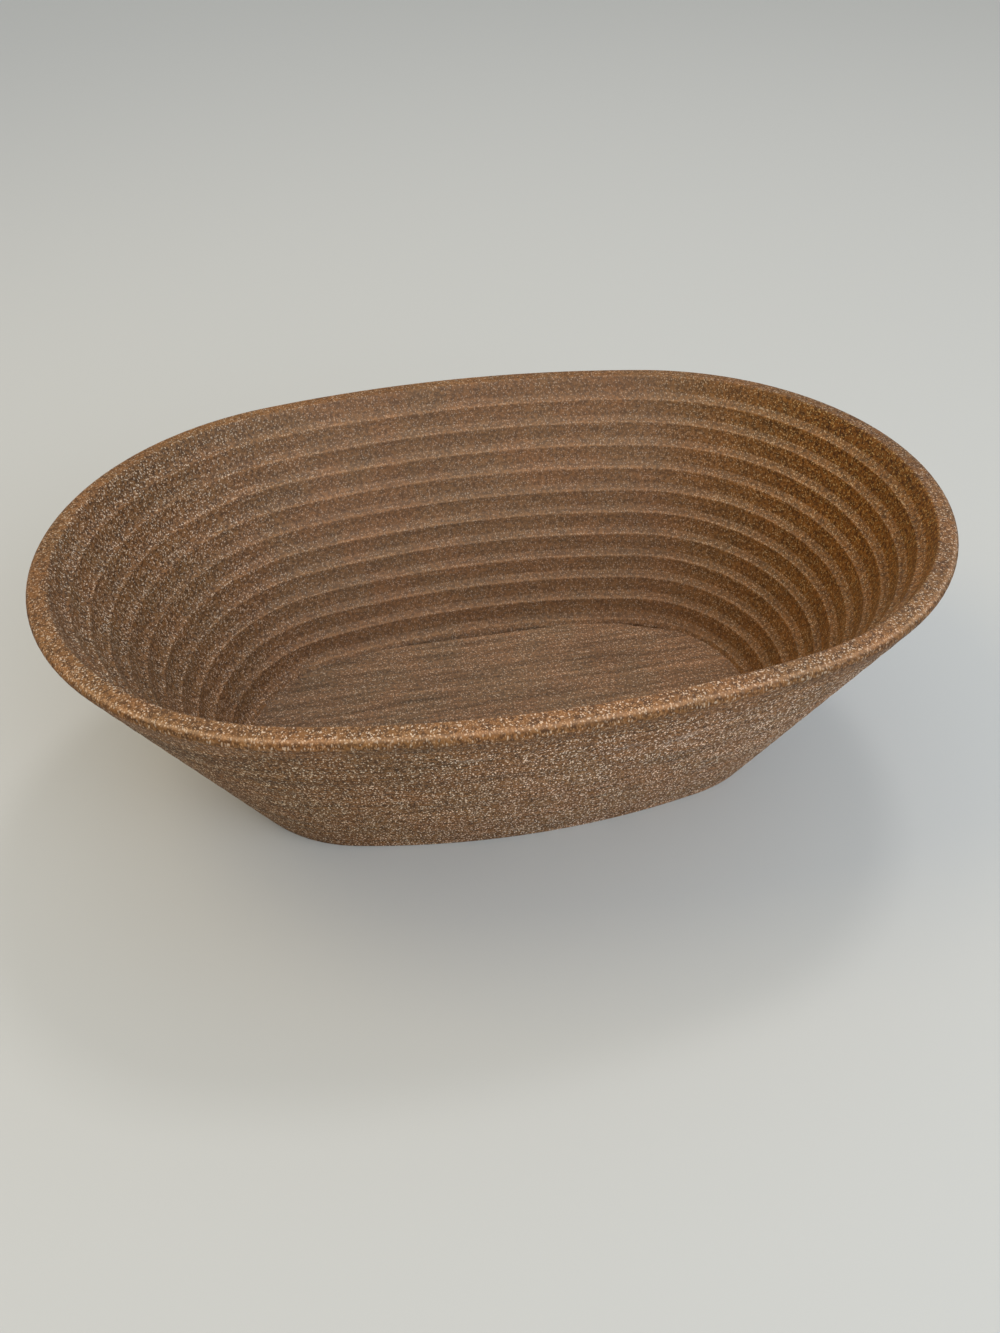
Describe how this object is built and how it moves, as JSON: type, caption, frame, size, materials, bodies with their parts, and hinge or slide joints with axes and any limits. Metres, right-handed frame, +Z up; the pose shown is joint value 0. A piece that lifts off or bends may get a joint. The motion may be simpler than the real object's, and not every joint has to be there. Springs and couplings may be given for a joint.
{
  "type": "proofing basket",
  "caption": "Oval flared basket of brown wood-filled plastic with stepped rings inside its wall and a flat floor, for holding bread dough while it rises.",
  "frame": {"origin": "centre of the underside, on the surface that the basket stands on", "axes": "+X along the length, +Y across the width, +Z up out of the mouth"},
  "size_m": [0.2498, 0.17, 0.0805],
  "materials": {
    "wood_filled_plastic": "dull, speckled with light wood fibres, fine level layer lines"
  },
  "bodies": {
    "root": {"basket_shell": "wood_filled_plastic"}
  },
  "joints": []
}
